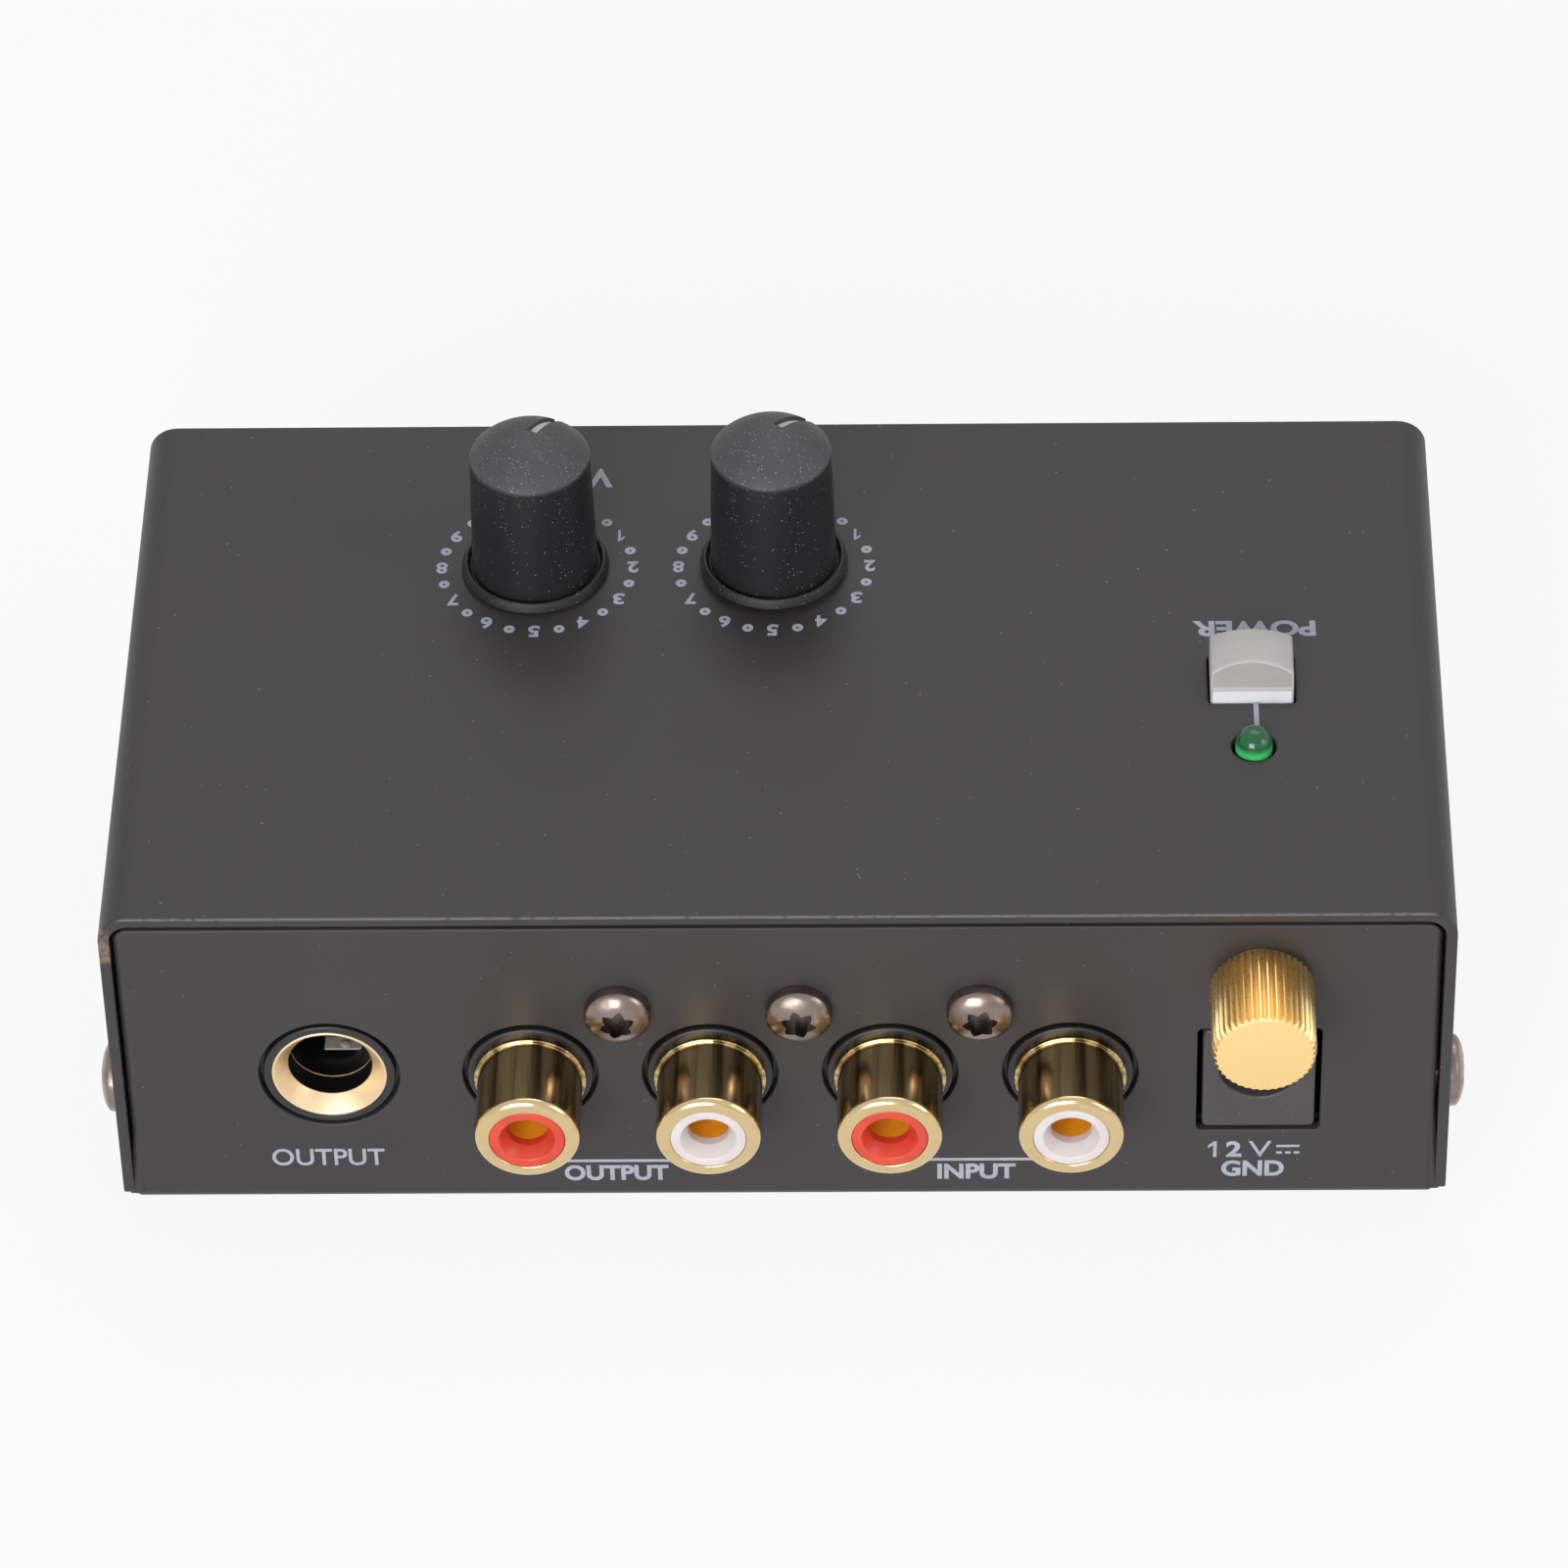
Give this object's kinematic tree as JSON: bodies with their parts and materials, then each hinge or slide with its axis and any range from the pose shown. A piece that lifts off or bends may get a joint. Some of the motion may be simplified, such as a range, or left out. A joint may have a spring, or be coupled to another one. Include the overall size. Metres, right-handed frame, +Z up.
{
  "type": "phono preamp",
  "caption": "Small desktop phono preamp in a folded steel case, with phono sockets, a headphone-size output, a ground post, rotary level controls and a push switch.",
  "frame": {"origin": "centre of the case's footprint, on the surface the rubber feet stand on", "axes": "+X to the right seen from the jack panel, +Y from the jack panel to the rear panel, +Z up"},
  "size_m": [0.1098, 0.0679, 0.0483],
  "materials": {
    "charcoal_paint": "matte, finely grained",
    "knob_plastic": "matte",
    "black_plastic": "satin",
    "gold": "polished",
    "pale_gold": "satin",
    "nickel": "satin",
    "spring_steel": "bright",
    "tin": "dull",
    "red_plastic": "satin",
    "white_plastic": "satin",
    "button_plastic": "matte",
    "green_lens": "polished, tinted",
    "board": "satin solder mask",
    "foot_rubber": "matte",
    "capacitor_sleeve": "glossy",
    "film_case": "glossy"
  },
  "bodies": {
    "case": {"base_chassis": "charcoal_paint", "block_screws": "nickel", "board_screws": "nickel", "board_standoffs": "tin", "circuit_board": "board", "electrolytic_capacitors": "capacitor_sleeve", "film_capacitors": "film_case", "floor_screws": "nickel", "ground_lock_nut": "nickel", "ground_stud": "gold", "inlet_body": "black_plastic", "inlet_contacts": "tin", "inlet_pin": "tin", "jack_body": "black_plastic", "jack_contacts": "spring_steel", "jack_ferrule": "gold", "led_leads": "tin", "led_lens": "green_lens", "opamp_chips": "black_plastic", "pot_body_left": "black_plastic", "pot_body_right": "black_plastic", "pot_terminals": "tin", "resistors": "black_plastic", "rubber_feet": "foot_rubber", "side_screws": "nickel", "socket_block": "black_plastic", "socket_contacts": "tin", "socket_insulator_1": "red_plastic", "socket_insulator_2": "white_plastic", "socket_insulator_3": "red_plastic", "socket_insulator_4": "white_plastic", "socket_shell_1": "gold", "socket_shell_2": "gold", "socket_shell_3": "gold", "socket_shell_4": "gold", "switch_body": "black_plastic", "switch_spring": "spring_steel", "switch_terminals": "tin", "top_cover": "charcoal_paint", "voltage_regulator": "black_plastic"},
    "left_control": {"volume_knob_left": "knob_plastic", "pot_shaft_left": "tin"},
    "right_control": {"volume_knob_right": "knob_plastic", "pot_shaft_right": "tin"},
    "button": {"power_button": "button_plastic", "switch_plunger": "black_plastic"},
    "washer": {"ground_washer": "pale_gold"},
    "thumb_nut": {"ground_thumb_nut": "pale_gold"}
  },
  "joints": [
    {"name": "left_volume", "type": "hinge", "parent": "case", "child": "left_control", "pos_m": [-0.02035, 0.0118, 0.0336], "axis": [0, 0, -1], "range_deg": [0, 300]},
    {"name": "right_volume", "type": "hinge", "parent": "case", "child": "right_control", "pos_m": [-0.00075, 0.0118, 0.0336], "axis": [0, 0, -1], "range_deg": [-12, 288]},
    {"name": "power_press", "type": "slide", "parent": "case", "child": "button", "axis": [0, 0, -1], "range_m": [0, 0.002], "stiffness_N_per_m": 400, "deforming": ["switch_spring"]},
    {"name": "ground_lift", "type": "slide", "parent": "case", "child": "washer", "axis": [0, -1, 0], "range_m": [0, 0.0035]},
    {"name": "ground_turn", "type": "hinge", "parent": "washer", "child": "thumb_nut", "pos_m": [0.0382, -0.0303, 0.0265], "axis": [0, -1, 0], "range_deg": [0, 1800]}
  ],
  "couplings": [
    {"joint": "ground_turn", "follows": "ground_lift", "rad_per_m": 8976}
  ]
}
